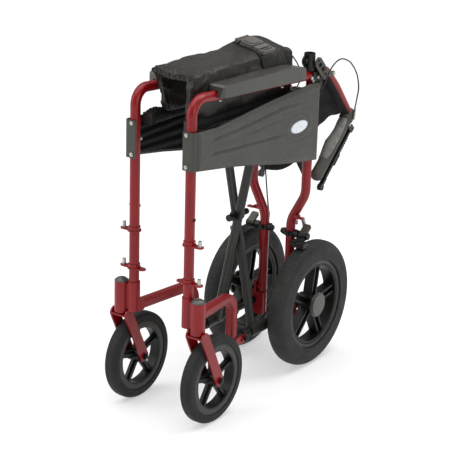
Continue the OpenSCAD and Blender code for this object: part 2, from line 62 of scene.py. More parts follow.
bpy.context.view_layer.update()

# ---- materials -------------------------------------------------------------------------------------


class Shader:
    """One material's node tree, with short calls that add a node and join it up."""

    def __init__(self, name):
        """Starts a material from the usual surface, with the object's own coordinates as its place."""
        self.material = bpy.data.materials.new(name)
        self.material.use_nodes = True
        self.tree = self.material.node_tree
        self.bsdf = self.tree.nodes["Principled BSDF"]
        self.place = self.add("ShaderNodeTexCoord").outputs["Object"]

    def add(self, kind, **values):
        """A new node of a kind, with its settings."""
        made = self.tree.nodes.new(kind)
        for key, value in values.items():
            setattr(made, key, value)
        return made

    def put(self, socket, value):
        """Gives a socket a value, or a link from another node."""
        if isinstance(value, bpy.types.NodeSocket):
            self.tree.links.new(value, socket)
        else:
            socket.default_value = value

    def noise(self, scale, detail=3.0, rough=0.55, place=None):
        """Soft noise from 0 to 1."""
        made = self.add("ShaderNodeTexNoise")
        self.put(made.inputs["Vector"], place or self.place)
        self.put(made.inputs["Scale"], scale)
        self.put(made.inputs["Detail"], detail)
        self.put(made.inputs["Roughness"], rough)
        return made.outputs["Fac"]

    def math(self, operation, a, b=0.0):
        """One sum on one or two values."""
        made = self.add("ShaderNodeMath", operation=operation)
        self.put(made.inputs[0], a)
        self.put(made.inputs[1], b)
        return made.outputs[0]

    def fit(self, value, low, high, to_low, to_high):
        """Carries the range low to high over to the range to_low to to_high, and stops at its ends."""
        made = self.add("ShaderNodeMapRange")
        settings = {"Value": value, "From Min": low, "From Max": high, "To Min": to_low, "To Max": to_high}
        for key, number in settings.items():
            self.put(made.inputs[key], number)
        return made.outputs["Result"]

    def mix(self, share, a, b):
        """The colour a where share is 0, and b where it is 1."""
        made = self.add("ShaderNodeMix", data_type="RGBA")
        self.put(made.inputs["Factor"], share)
        self.put(made.inputs["A"], a)
        self.put(made.inputs["B"], b)
        return made.outputs["Result"]

    def scaled(self, size):
        """The place, stretched by a size per axis."""
        made = self.add("ShaderNodeMapping")
        self.put(made.inputs["Vector"], self.place)
        self.put(made.inputs["Scale"], size)
        return made.outputs["Vector"]

    def axes(self, centre=(0, 0, 0)):
        """The three coordinates, measured from centre."""
        shift = self.add("ShaderNodeMapping", vector_type="POINT")
        self.put(shift.inputs["Vector"], self.place)
        self.put(shift.inputs["Location"], [-c for c in centre])
        apart = self.add("ShaderNodeSeparateXYZ")
        self.put(apart.inputs[0], shift.outputs[0])
        return apart.outputs["X"], apart.outputs["Y"], apart.outputs["Z"]

    def bump(self, height, strength, depth, under=None):
        """A normal from a height, laid over another normal if one is given."""
        made = self.add("ShaderNodeBump")
        self.put(made.inputs["Height"], height)
        self.put(made.inputs["Strength"], strength)
        self.put(made.inputs["Distance"], depth)
        if under is not None:
            self.put(made.inputs["Normal"], under)
        return made.outputs["Normal"]

    def finish(self, **inputs):
        """Sets the surface's inputs, and gives back the material."""
        for key, value in inputs.items():
            self.put(self.bsdf.inputs[key.replace("_", " ")], value)
        return self.material


def linear(r, g, b, alpha=1.0):
    """A colour given as 0-255 values on a screen."""
    parts = [c / 255 for c in (r, g, b)]
    return [c / 12.92 if c <= 0.04045 else ((c + 0.055) / 1.055) ** 2.4 for c in parts] + [alpha]


def hard(name, low, high, roughness, metallic=0.0, coat=0.0, grain=900, grain_depth=0.00005, patch=14, specular=0.5):
    """A painted or moulded surface: two shades in soft patches, fine light grain and uneven gloss."""
    s = Shader(name)
    patches = s.fit(s.noise(patch, 4), 0.3, 0.7, 0, 1)
    fine = s.noise(grain, 2)
    colour = s.mix(patches, linear(*low), linear(*high))
    colour = s.mix(s.fit(fine, 0.35, 0.75, 0, 0.16), colour, linear(*[min(255, c * 1.5) for c in high]))
    gloss = s.fit(s.noise(patch * 5, 3), 0.3, 0.7, roughness - 0.06, roughness + 0.08)
    normal = s.bump(fine, 0.5, grain_depth)
    s.finish(Base_Color=colour, Roughness=gloss, Metallic=metallic, Coat_Weight=coat, Coat_Roughness=0.18,
             Normal=normal, Specular_IOR_Level=specular)
    return s.material


def woven(name, low, high, threads=1400, sheen=0.15, roughness=0.5, creases=40, depth=0.0005):
    """Coated nylon cloth: a fine weave, soft creases and a faint sheen."""
    s = Shader(name)
    x, y, z = s.axes()
    across = s.math("SINE", s.math("MULTIPLY", s.math("ADD", x, z), threads))
    along = s.math("SINE", s.math("MULTIPLY", s.math("SUBTRACT", y, s.math("MULTIPLY", z, 0.3)), threads))
    weave = s.math("MULTIPLY", across, along)
    crease = s.noise(creases, 3, 0.5, s.scaled((1.0, 0.45, 1.0)))
    patches = s.fit(s.noise(9, 4), 0.3, 0.7, 0, 1)
    colour = s.mix(patches, linear(*low), linear(*high))
    colour = s.mix(s.fit(weave, -1, 1, 0, 0.22), colour, linear(*[c * 1.45 for c in high]))
    normal = s.bump(weave, 0.35, 0.00025)
    normal = s.bump(s.math("ABSOLUTE", s.math("SUBTRACT", crease, 0.5)), 0.6, depth, normal)
    gloss = s.fit(crease, 0.3, 0.7, roughness + 0.06, roughness - 0.08)
    s.finish(Base_Color=colour, Roughness=gloss, Normal=normal, Sheen_Weight=sheen, Sheen_Roughness=0.4,
             Sheen_Tint=linear(150, 145, 140), Specular_IOR_Level=0.3)
    return s.material


def tread(name, centre, low, high, pitch, wall, top):
    """Rubber with small tread blocks where the surface is near radius top, and fine rings on the side wall."""
    s = Shader(name)
    x, y, z = s.axes([c * MM for c in centre])
    angle = s.math("ARCTAN2", y, z)
    radius = s.math("SQRT", s.math("ADD", s.math("MULTIPLY", y, y), s.math("MULTIPLY", z, z)))
    skew = s.math("MULTIPLY", s.math("ABSOLUTE", x), 90)
    blocks = s.math("SINE", s.math("ADD", s.math("MULTIPLY", angle, pitch), skew))
    ribs = s.math("SINE", s.math("MULTIPLY", x, 900))
    pattern = s.math("MULTIPLY", s.fit(blocks, -0.35, 0.35, 0, 1), s.fit(ribs, -0.5, 0.2, 0.2, 1))
    here = s.fit(radius, wall, top, 0, 1)
    rings = s.math("MULTIPLY", s.fit(s.math("SINE", s.math("MULTIPLY", radius, 1500)), -1, 1, 0, 0.35),
                   s.math("SUBTRACT", 1.0, here))
    height = s.math("ADD", s.math("MULTIPLY", pattern, here), rings)
    patches = s.fit(s.noise(12, 4), 0.3, 0.7, 0, 1)
    dusty = s.fit(s.noise(260, 3), 0.45, 0.8, 0, 0.25)
    colour = s.mix(patches, linear(*low), linear(*high))
    colour = s.mix(dusty, colour, linear(*[c * 1.35 for c in high]))
    normal = s.bump(s.noise(1100, 2), 0.4, 0.00008)
    normal = s.bump(height, 0.7, 0.0011, normal)
    gloss = s.fit(s.noise(40, 3), 0.3, 0.7, 0.62, 0.8)
    s.finish(Base_Color=colour, Roughness=gloss, Normal=normal, Specular_IOR_Level=0.3)
    return s.material


CASTER_HUB, REAR_HUB = (104.5, -250, 100), (91, 152, 152)  # the left wheels' middles, in millimetres
MATERIALS = {
    "red_paint": hard("red_paint", (112, 3, 9), (128, 7, 14), 0.34, 0.05, 0.1, 1500, 0.00002, specular=0.35),
    "dark_paint": hard("dark_paint", (26, 27, 25), (38, 39, 36), 0.38, 0.05, 0.1, specular=0.35),
    "rail_paint": hard("rail_paint", (12, 12, 12), (20, 20, 20), 0.4, 0.05, 0.05, specular=0.3),
    "panel_plastic": hard("panel_plastic", (58, 58, 54), (66, 66, 61), 0.5, grain=1300, grain_depth=0.0001,
                          specular=0.3),
    # The panel's inner skin is far darker than the panel plastic: partly its own dark plastic, partly painted shade for
    # the panel's shaded inside.
    "panel_inside_dark_and_shade": hard("panel_inside_dark_and_shade", (9, 9, 9), (14, 14, 14), 0.55, grain=1300, grain_depth=0.0001,
                         specular=0.15),
    "pad_plastic": hard("pad_plastic", (48, 47, 42), (60, 59, 54), 0.34, grain=1000, grain_depth=0.0001),
    "black_plastic": hard("black_plastic", (12, 12, 12), (22, 22, 21), 0.4, specular=0.3),
    "rim_plastic": hard("rim_plastic", (13, 13, 12), (21, 21, 20), 0.42, grain=700, specular=0.25),
    "ring_plastic": hard("ring_plastic", (44, 44, 41), (58, 58, 54), 0.45, grain=700, specular=0.3),
    "cap_plastic": hard("cap_plastic", (58, 58, 54), (74, 74, 69), 0.34),
    "grip_dark": hard("grip_dark", (58, 57, 53), (72, 71, 66), 0.6, grain=600, grain_depth=0.0003, specular=0.3),
    "grip_light": hard("grip_light", (92, 91, 87), (124, 123, 118), 0.62, grain=420, grain_depth=0.0005, patch=90,
                       specular=0.3),
    "buckle_plastic": hard("buckle_plastic", (74, 71, 68), (98, 94, 90), 0.36, specular=0.4),
    "bolt_black": hard("bolt_black", (18, 18, 19), (34, 34, 35), 0.3, 0.5),
    "plate_grey": hard("plate_grey", (58, 57, 49), (78, 76, 66), 0.4, 0.2, specular=0.35),
    "zinc": hard("zinc", (150, 148, 142), (196, 194, 188), 0.3, 0.85, grain=1800),
    "badge_white": hard("badge_white", (204, 209, 213), (222, 226, 229), 0.3, coat=0.3),
    "badge_grey": hard("badge_grey", (98, 112, 132), (118, 130, 148), 0.3, coat=0.3),
    "cable_black": hard("cable_black", (18, 18, 18), (30, 30, 30), 0.4, specular=0.3),
    "fabric_seat": woven("fabric_seat", (25, 24, 22), (35, 33, 31), roughness=0.42),
    "fabric_black": woven("fabric_black", (7, 7, 7), (13, 13, 13), sheen=0.08, roughness=0.75),
    "webbing": woven("webbing", (20, 19, 18), (30, 29, 27), threads=2600, creases=20, sheen=0.12),
    "caster_rubber": tread("caster_rubber", CASTER_HUB, (27, 27, 27), (37, 37, 37), 40, 0.097, 0.1),
    "rear_rubber": tread("rear_rubber", REAR_HUB, (33, 33, 32), (45, 45, 44), 72, 0.134, 0.148),
}

# The finish of each CAD node, by the start of its name.
CAD_FINISH = {
    "front_tube": "red_paint", "rear_post": "red_paint", "caster_housing": "red_paint", "front_arch": "red_paint",
    "hanger_bracket": "red_paint", "back_tube": "red_paint", "caster_fork": "red_paint", "housing_cap": "cap_plastic",
    "lower_rail": "rail_paint", "zinc_fittings": "zinc", "arm_pad": "pad_plastic", "side_panel": "panel_plastic",
    "back_socket": "black_plastic", "hinge_plate": "plate_grey", "grip": "grip_dark", "brake_lever": "black_plastic",
    "brake_clamp": "black_plastic", "brake_arm": "black_plastic", "brake_cable": "cable_black",
    "cross_bolt": "bolt_black", "cross_": "dark_paint", "caster_rim": "rim_plastic", "caster_tyre": "caster_rubber",
    "rear_rim": "rim_plastic", "rear_tyre": "rear_rubber", "hub_cap": "cap_plastic", "seat_": "fabric_seat",
    "back_upper": "fabric_black", "back_lower": "fabric_black", "belt_buckle": "buckle_plastic"}
# The width in millimetres of the rounding that some nodes' sharp edges get, where they turn by more than SHARP.
ROUNDED = {"arm_pad": 4.5, "caster_fork": 1.0, "hinge_plate": 0.8, "brake_arm": 1.0, "brake_lever": 1.6,
           "rear_rim": 0.8, "caster_rim": 0.8, "side_panel": 0.8}
SHARP = math.radians(38)

for node_name, node_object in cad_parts.items():
    start = next(k for k in CAD_FINISH if node_name.startswith(k))
    node_object.data.materials.clear()
    node_object.data.materials.append(MATERIALS[CAD_FINISH[start]])
    for key, width in ROUNDED.items():
        if node_name.startswith(key):
            rounded = node_object.modifiers.new("edges", "BEVEL")
            rounded.width, rounded.segments, rounded.limit_method = width * MM, 2, "ANGLE"
            rounded.angle_limit = SHARP

# ---- small builders --------------------------------------------------------------------------------
# They take millimetres in the row frame and make metres.


def piece(name, points, faces, finish, body, slot, smooth=40, wall=0.0, edge=0.0):
    """A mesh that rides on a body. wall gives an open sheet a thickness, and edge rounds its sharp edges."""
    mesh = bpy.data.meshes.new(name)
    mesh.from_pydata([tuple(c * MM for c in p) for p in points], [], faces)
    mesh.validate()
    obj = bpy.data.objects.new(name, mesh)
    SCENE.collection.objects.link(obj)
    bm = bmesh.new()
    bm.from_mesh(mesh)
    bmesh.ops.recalc_face_normals(bm, faces=bm.faces)
    bm.to_mesh(mesh)
    bm.free()
    if wall:
        thick = obj.modifiers.new("wall", "SOLIDIFY")
        thick.thickness, thick.offset = wall * MM, 0
    if edge:
        soft = obj.modifiers.new("edges", "BEVEL")
        soft.width, soft.segments, soft.limit_method = edge * MM, 2, "ANGLE"
    mesh.shade_smooth()
    if smooth < 180:
        mesh.set_sharp_from_angle(angle=math.radians(smooth))
    mesh.materials.append(MATERIALS[finish])
    if body:
        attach(obj, body)
    return obj


def both(name, shape, finish, body, slot, **how):
    """The same shape on the left and, mirrored, on the right."""
    points, faces = shape
    left, right = (f"{body}_left", f"{body}_right") if body else (None, None)
    made = [piece(f"{name}_left", points, faces, finish, left, slot, **how)]
    mirrored = [(-p[0], p[1], p[2]) for p in points]
    made.append(piece(f"{name}_right", mirrored, [tuple(reversed(f)) for f in faces], finish, right, slot, **how))
    return made


def sides(pieces):
    """The two pieces that both makes, each with its side's name and its sign along X."""
    return zip(("left", "right"), (1, -1), pieces)


def sheet_faces(rows, columns, flipped=False):
    """The faces of a sheet that has rows by columns squares, and whose points run row by row."""
    faces = []
    for i in range(rows):
        for j in range(columns):
            a = i * (columns + 1) + j
            b = a + columns + 1
            faces.append((a, b, b + 1, a + 1) if flipped else (a, a + 1, b + 1, b))
    return faces


def tube_faces(rings, around):
    """The faces of a tube whose points run ring by ring, with a cap at each end."""
    faces = []
    for i in range(rings - 1):
        for k in range(around):
            j = (k + 1) % around
            faces.append((i * around + k, i * around + j, (i + 1) * around + j, (i + 1) * around + k))
    last = (rings - 1) * around
    return faces + [tuple(range(around))[::-1], tuple(range(last, last + around))]


def merge(*shapes):
    """Several shapes as one."""
    points, faces = [], []
    for p, f in shapes:
        faces += [tuple(i + len(points) for i in face) for face in f]
        points += list(p)
    return points, faces


def moved(shape, matrix):
    """The shape, carried by a matrix in millimetres."""
    return [tuple(matrix @ Vector(p)) for p in shape[0]], shape[1]


def block(low, high, cut=0.0):
    """A box with its upright edges cut off by cut."""
    (x0, y0, z0), (x1, y1, z1) = low, high
    ring = [(x0 + cut, y0), (x1 - cut, y0), (x1, y0 + cut), (x1, y1 - cut),
            (x1 - cut, y1), (x0 + cut, y1), (x0, y1 - cut), (x0, y0 + cut)]
    if not cut:
        ring = [(x0, y0), (x1, y0), (x1, y1), (x0, y1)]
    n = len(ring)
    points = [(x, y, z) for z in (z0, z1) for x, y in ring]
    faces = [(i, (i + 1) % n, n + (i + 1) % n, n + i) for i in range(n)]
    return points, faces + [tuple(range(n))[::-1], tuple(range(n, 2 * n))]


def sweep(path, section):
    """section, a list of (across, along) points or a function of the share of the way, carried along path."""
    path = [Vector(p) for p in path]
    last = len(path) - 1
    points = []
    for i, p in enumerate(path):
        way = (path[min(i + 1, last)] - path[max(i - 1, 0)]).normalized()
        u = Vector((1, 0, 0)) - way * way.x
        u.normalize()
        v = way.cross(u)
        ring = section(i / last) if callable(section) else section
        points += [tuple(p + u * a + v * b) for a, b in ring]
    return points, tube_faces(last + 1, len(ring))


def circle(r, n=16):
    """A round section for sweep."""
    return [(r * math.cos(2 * math.pi * k / n), r * math.sin(2 * math.pi * k / n)) for k in range(n)]


def smooth(points, steps=6):
    """A smooth line through the points."""
    p = [np.array(q, float) for q in points]
    out = []
    for i in range(len(p) - 1):
        a, b, c, d = p[max(i - 1, 0)], p[i], p[i + 1], p[min(i + 2, len(p) - 1)]
        for k in range(steps):
            t = k / steps
            bend, twist = (2 * a - 5 * b + 4 * c - d) * t * t, (3 * b - a - 3 * c + d) * t**3
            out.append(tuple(0.5 * (2 * b + (c - a) * t + bend + twist)))
    return out + [tuple(p[-1])]


def turned(profile, centre, axis, n=40, ring=False):
    """A turned shape. profile holds (distance along axis, radius) pairs, from end to end or right round a ring."""
    axis = Vector(axis).normalized()
    u = axis.orthogonal().normalized()
    v = axis.cross(u)
    centre = Vector(centre)
    points, faces, m = [], [], len(profile)
    for k in range(n):
        a = 2 * math.pi * k / n
        out = u * math.cos(a) + v * math.sin(a)
        points += [tuple(centre + axis * h + out * max(r, 0.02)) for h, r in profile]
    for k in range(n):
        for i in range(m if ring else m - 1):
            j, up = (k + 1) % n, (i + 1) % m
            faces.append((k * m + i, j * m + i, j * m + up, k * m + up))
    if ring:
        return points, faces
    return points, faces + [tuple(k * m for k in range(n)), tuple(k * m + m - 1 for k in reversed(range(n)))]


def screw(place, axis, r=4.5, h=2.4):
    """A pan head with a dished hex socket, standing on place and facing along axis."""
    profile = [(0, r), (h * 0.45, r), (h * 0.85, r * 0.82), (h, r * 0.6), (h, r * 0.42), (h * 0.35, r * 0.36),
               (h * 0.3, 0)]
    return turned(profile, place, axis, 18)


def nut(place, axis, r=6, h=5):
    """A hex nut on its washer, with the bolt's end showing."""
    profile = [(0, r), (h * 0.85, r), (h, r * 0.86), (h, r * 0.5), (h + 1.2, r * 0.46), (h + 1.6, 0)]
    washer = [(-0.4, r * 1.25), (0.6, r * 1.25), (0.61, 0)]
    return merge(turned(profile, place, axis, 6), turned(washer, place, axis, 20))


def wobble(p, scale, seed=0.0):
    """Smooth noise from -1 to 1, the same on every run."""
    return noise.noise(Vector(p) * scale + Vector((seed, seed * 1.7, seed * 0.3)))


def ease(x, a, b):
    """0 up to a, 1 from b on, and a soft step between."""
    t = min(max((x - a) / (b - a), 0.0), 1.0)
    return t * t * (3 - 2 * t)


# ---- side frames: panels, badge, bolts -------------------------------------------------------------
# The panel's edges and lines are (y, z) points.
PANEL_FACE = 91.6
PANEL_LOW = [(-304, 580), (-184, 563.5), (-109, 550.5), (5, 527.5), (81, 515.5), (155, 505)]
PANEL_HIGH = [(-304, 658), (-235, 656), (-169, 662), (-101, 669), (-30, 676), (43, 681), (119, 685), (148, 683),
              (155, 678)]
BUTTONS = [(-277, 634), (-280, 604)]
BADGE = (71, 599)
GROOVES = [[(-266, 634), (-168, 639), (-99, 645), (-28, 652), (20, 655), (91, 653)],
           [(-268, 606), (-166, 601), (-96, 598), (-24, 595), (25, 592)],
           [(-150, 622), (-60, 627), (20, 632)], [(25, 570), (90, 569), (135, 576)],
          [(60, 640), (110, 640), (140, 634)]]


def along_edge(edge, y):
    """The height at y of a line of (y, z) points."""
    ys = [p[0] for p in edge]
    return float(np.interp(y, ys, [p[1] for p in edge]))


def groove_depth(y, z):
    """Depth of the pressed lines: two run back from the buttons, and fainter ones lie between and round the badge."""
    depth = 0.0
    for number, line in enumerate(GROOVES):
        start, end = line[0][0], line[-1][0]
        here = ease(y, start, start + 30) * (1 - ease(y, end - 40, end))
        depth = max(depth, (1.0 if number < 2 else 0.4) * here * math.exp(-((z - along_edge(line, y)) / 2.2) ** 2))
    return depth


def panel_face():
    """The panel's moulded outer skin: crowned, with its pressed lines, the badge's raised ring and two buttons."""
    across, up = 150, 44
    points = []
    for i in range(across + 1):
        y = -302 + 457 * i / across
        low, high = along_edge(PANEL_LOW, y), along_edge(PANEL_HIGH, y)
        for j in range(up + 1):
            z = low + (high - low) * j / up
            rim = min(j, up - j, i, across - i)
            relief = 3.2 + 1.0 * math.sin(math.pi * j / up)
            relief += groove_depth(y, z + 5) - 3.2 * groove_depth(y, z)
            ring = math.hypot((y - BADGE[0]) / 47, (z - BADGE[1]) / 27)
            relief += ease(ring, 0.85, 1.0) * (1 - ease(ring, 1.0, 1.16))
            relief += 0.9 * wobble((y, z, 3), 0.011)
            for by, bz in BUTTONS:
                relief += 0.9 * (1 - ease(math.hypot(y - by, z - bz), 3.0, 5.5))
            points.append((PANEL_FACE + (0.1 if rim == 0 else relief * min(1.0, 0.45 + rim * 0.3)), y, z))
    return points, sheet_faces(across, up, flipped=True)


both("panel_face", panel_face(), "panel_plastic", "frame", "panel_plastic", smooth=180)


def panel_back():
    """The inner skin of the side panel, with shallow ribs that run along it, coloured near black: partly dark plastic,
    partly painted shade.
    """
    points, across, up = [], 60, 60
    for i in range(across + 1):
        y = -286 + 436 * i / across
        low, high = along_edge(PANEL_LOW, y) + 2, along_edge(PANEL_HIGH, y) - 2
        for j in range(up + 1):
            z = low + (high - low) * j / up
            rim = min(j, up - j, i, across - i)
            ribs = 1.5 + 1.2 * math.sin((z - 0.12 * (y + 300) * (z - 590) / 80) * 2 * math.pi / 17)
            points.append((PANEL_FACE - 3.7 - (0 if rim == 0 else ribs), y, z))
    return points, sheet_faces(across, up)


both("panel_back", panel_back(), "panel_inside_dark_and_shade", "frame", "panel_plastic", smooth=180)


def badge(scale, height, x0):
    """A blank oval plate with a rounded edge, standing on x0."""
    n, points = 48, []
    for r, h in [(1.0, 0.0), (1.0, height * 0.6), (0.93, height)]:
        for k in range(n):
            a = 2 * math.pi * k / n
            along = 35 * scale * r * math.cos(a)
            points.append((x0 + h, BADGE[0] + along, BADGE[1] + 14.5 * scale * r * math.sin(a) + 0.02 * along))
    return points, tube_faces(3, n)


both("badge_rim", badge(1.0, 1.0, PANEL_FACE + 3.6), "badge_grey", "frame", "panel_plastic")
both("badge_blank", badge(0.9, 1.2, PANEL_FACE + 4.4), "badge_white", "frame", "panel_plastic")

ARM_FALL = 0.0528  # how much lower the arm pad's edge lies for each millimetre further back
frame_screws = merge(
    *[screw((74, y, 716.5 - ARM_FALL * (y + 300)), (0.25, 0, -1), 3.6, 2.2) for y in (-120, 110)],
    screw((61.4, -296, 619), (-1, 0, 0), 3.5, 2))
both("frame_screws", frame_screws, "zinc", "frame", "zinc")
post_bolts = merge(screw((85, -300, 470), (1, 0, 0), 3.5, 2.5), screw((74, -288.9, 372), (0, 1, 0), 3.5, 4),
                   nut((72, -76, 128), (1, 0, 0), 6.5, 5))
both("post_bolts", post_bolts, "bolt_black", "frame", "black_plastic")

# ---- hinge blocks and sockets ----------------------------------------------------------------------
hinge_block = merge(block((63, 160, 664), (85, 180, 700), 4), block((66, 150, 672), (84, 162, 690), 2),
                    block((85, 134, 686), (87.5, 166, 712), 3))
both("hinge_block", hinge_block, "black_plastic", "frame", "black_plastic", edge=1.2)
socket_rim = turned([(0, 13), (6.8, 13), (8, 12.3), (8, 11.6), (0, 11.3)], (74, 136, 745.8), (0, 0, 1), 40, ring=True)
both("socket_rim", socket_rim, "black_plastic", "frame", "black_plastic")
hinge_bolts = merge(screw((87, 155, 697), (1, 0, 0), 4.4, 2.6), screw((85.5, 137, 690), (1, 0, 0), 4.2, 2.6))
both("hinge_bolts", hinge_bolts, "zinc", "frame", "zinc")
plate_bolts = merge(nut((95.3, 150, 726), (1, 0, 0), 5, 3), nut((96, 162, 715), (1, 0, 0), 4.6, 2.4),
                    screw((95.3, 174, 702), (1, 0, 0), 3.6, 2), screw((95.3, 141, 738), (1, 0, 0), 3.0, 2))
both("plate_bolts", plate_bolts, "bolt_black", "back", "black_plastic")
both("tube_bolt", screw((95.3, 208, 697.3), (1, 0, 0), 4.2, 2.6), "zinc", "back", "zinc")

# ---- push handles ----------------------------------------------------------------------------------
# GRIP carries a grip made upright at the origin to its place on the left tube, at the tube's bend.
BEND = Vector((74, 317, 577))
GRIP = Matrix.Translation(BEND) @ Matrix.Rotation(math.radians(133.4), 4, "X")
GRIP_RADIUS, ROUND_FROM = 15.6, 178  # its plain radius, and where its end starts to round off
# The swollen side's radius, given at distances from the bend.
GRIP_WAIST = ([12, 22, 50, 70, 89, 105, 124, 140, 175, 189], [14.5, 15, 13.2, 15, 18.6, 17, 14.5, 13.5, 14.5, 13])
FACING = math.radians(-54)  # the side of the grip that swells into the palm


def grip_radius(h, a):
    """The grip's radius at distance h from the bend and angle a, measured from the top towards the outside."""
    swell = max(0.0, math.cos(a - FACING)) ** 1.2
    round_end = math.sqrt(max(0.0, 1 - max(0.0, (h - ROUND_FROM) / 12) ** 2))
    return (GRIP_RADIUS + (float(np.interp(h, *GRIP_WAIST)) - GRIP_RADIUS) * swell) * max(round_end, 0.12)


def grip_body():
    """The grip's dark body, ring by ring from the bend to its rounded end."""
    around = 40
    stations = [12, 13, 15] + list(range(18, ROUND_FROM, 4)) + [ROUND_FROM, 181, 184, 186.5, 188.5, 189.8]
    points = []
    for h in stations:
        for k in range(around):
            a = 2 * math.pi * k / around
            r = grip_radius(h, a)
            points.append(tuple(GRIP @ Vector((r * math.sin(a), r * math.cos(a), h))))
    return points, tube_faces(len(stations), around)


def grip_insert():
    """The lighter soft pad let into the grip, wider in the middle than at its ends."""
    points, along, around = [], 44, 20
    for i in range(along + 1):
        h = 19 + 118 * i / along
        spread = math.sin(math.pi * (i + 2) / (along + 4)) ** 0.35
        for k in range(around + 1):
            a = math.radians(-10 + (-82 + 164 * k / around) * (0.42 + 0.58 * spread))
            rim = min(i, along - i, k, around - k)
            ribs = 0.18 * math.sin(h * 2.1) * math.sin(14 * a) if rim > 1 else 0
            r = grip_radius(h, a) + (-0.6, 0.5, 0.9)[min(rim, 2)] + ribs
            points.append(tuple(GRIP @ Vector((r * math.sin(a), r * math.cos(a), h))))
    return points, sheet_faces(along, around)


ears = merge(*[block((x, -24, 21), (x + 4, -6, 35), 1.5) for x in (0.9, 15.1)])
grip_shape = merge(grip_body(), moved(ears, GRIP))
for side, _, body_piece in sides(both("grip_body", grip_shape, "grip_dark", "back", "grip_rubber", smooth=50)):
    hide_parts(f"grip_{side}")
both("grip_insert", grip_insert(), "grip_light", "back", "grip_rubber", smooth=180)
boot_profile = [(-13, 6), (-12.5, 11), (-9, 15), (-3, 17), (6, 17.6), (15, 17.4), (17, 16.4), (18, 15)]
boot = turned(boot_profile, (0, 0, 0), (0, 0, 1), 36)
both("grip_boot", moved(boot, GRIP), "plate_grey", "back", "grip_rubber", smooth=60)
lever_ribs = merge(*[block((4.2, -24.6, 52 + 7 * i), (15.8, -22.8, 55 + 7 * i), 0.6) for i in range(7)],
                   block((4.2, -29, 98), (15.8, -22.9, 128), 2))
both("lever_ribs", moved(lever_ribs, GRIP), "black_plastic", "lever", "black_plastic")

# ---- held brake cables -----------------------------------------------------------------------------
CABLE = [(94, 312, 576), (91, 319, 597), (85, 335, 614), (82, 345, 638), (84, 330, 673), (88, 294, 706),
         (92, 257, 722), (98, 228, 727), (101, 204, 724), (102, 184, 713), (101, 173, 698), (97, 170, 684),
         (88, 169, 664), (78, 169, 628), (74, 170, 580), (62, 166, 510), (54, 165, 450), (46, 165, 385), (40, 165, 345)]
cables = both("cable", sweep(smooth(CABLE, 10), circle(1.7, 12)), "cable_black", None, "cable_black", smooth=180)
for side, sign, cable in sides(cables):
    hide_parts(f"brake_cable_{side}")
    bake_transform(cable)
cable_end = sweep(smooth([(94.5, 308, 568), (94, 312, 576), (91, 319, 597)], 4), circle(2.4, 12))
both("cable_end", cable_end, "zinc", "back", "zinc")
cable_stop = turned([(0, 2.2), (1, 3.6), (12, 3.6), (14, 2.4), (18, 2.0)], (40, 165, 332), (0, 0, 1), 14)
both("cable_stop", cable_stop, "zinc", "frame", "zinc")

# ---- wheel rings ------------------------------------------------------------------------------------
REAR_RING = [(17.2, 98), (18.6, 99), (19.2, 103), (18.4, 107.5), (16.9, 107.9)]
CASTER_RING = [(12.1, 66), (13.4, 67), (13.8, 70), (13.2, 72), (13.9, 75), (13, 79.6), (12, 79.6)]


def wheel_rings(profile, hub, n):
    """The same raised ring on both faces of a wheel."""
    return merge(*[turned([(s * x, r) for x, r in profile], hub, (1, 0, 0), n, ring=True) for s in (-1, 1)])


rear_ring = wheel_rings(REAR_RING, REAR_HUB, 72)
both("rear_ring", rear_ring, "ring_plastic", "rear_wheel", "rim_plastic", smooth=50)
caster_ring = wheel_rings(CASTER_RING, CASTER_HUB, 60)
both("caster_ring", caster_ring, "ring_plastic", "caster_wheel", "rim_plastic", smooth=50)
axle_bolts = merge(*[nut((104.5 + s * 25.6, -250, 100), (s, 0, 0), 6.5, 3.5) for s in (-1, 1)])
both("axle_bolts", axle_bolts, "bolt_black", "caster", "black_plastic")

# ---- brake -----------------------------------------------------------------------------------------
SPRING = Matrix.Translation((60, 171, 326)) @ Vector((0, -10, 25)).to_track_quat("Z", "X").to_matrix().to_4x4()
coil = [tuple(SPRING @ Vector((3.9 * math.cos(0.7 * i), 3.9 * math.sin(0.7 * i), 0.3 * i))) for i in range(90)]
both("brake_spring", sweep(coil, circle(1.1, 8)), "zinc", "frame", "zinc", smooth=180)
shoe = merge(block((70, 99, 300.9), (103, 119, 304.4), 2), nut((75, 104, 313.8), (0, 0, 1), 5.5, 4))
both("brake_shoe", shoe, "black_plastic", "brake", "black_plastic", edge=0.8)
tilt = Matrix.Translation((0, 145, 317)) @ Matrix.Rotation(math.radians(38), 4, "X")
brake_plate = moved(block((64.5, -1, 7.1), (84.5, 27, 9.6), 3), tilt)
both("brake_plate", brake_plate, "plate_grey", "brake", "black_plastic", edge=0.6)
CLAMP_INNER = [(-26, 4), (-25, 6.5), (-21, 6.8), (-20, 8.4), (-11, 8.6), (-10.5, 4)]
CLAMP_OUTER = [(10.5, 5), (11, 9.4), (24, 9.4), (25, 5), (46.9, 4.9), (47, 8), (50, 8), (50.4, 3)]
clamp = merge(turned(CLAMP_INNER, (37, 145, 317), (1, 0, 0), 18), turned(CLAMP_OUTER, (37, 145, 317), (1, 0, 0), 24),
              block((22, 150, 311), (52, 157.5, 323), 2), block((24, 132.5, 312), (50, 137, 322), 2))
for side, _, clamp_piece in sides(both("brake_clamp", clamp, "black_plastic", "frame", "black_plastic", edge=0.6)):
    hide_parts(f"brake_clamp_{side}")
clamp_bolt = nut((37, 132.5, 317), (0, -1, 0), 6, 5)
both("clamp_bolts", clamp_bolt, "bolt_black", "frame", "black_plastic")

# ---- seat bundle -----------------------------------------------------------------------------------
SEAT_FRONT, SEAT_REAR, SEAT_STEPS = -272.0, 94.0, 48


def seat_top(y):
    """Height of the folded seat's top."""
    return 770 + 4 * ease(y, -270, -130) - 3 * ease(y, 60, 95)


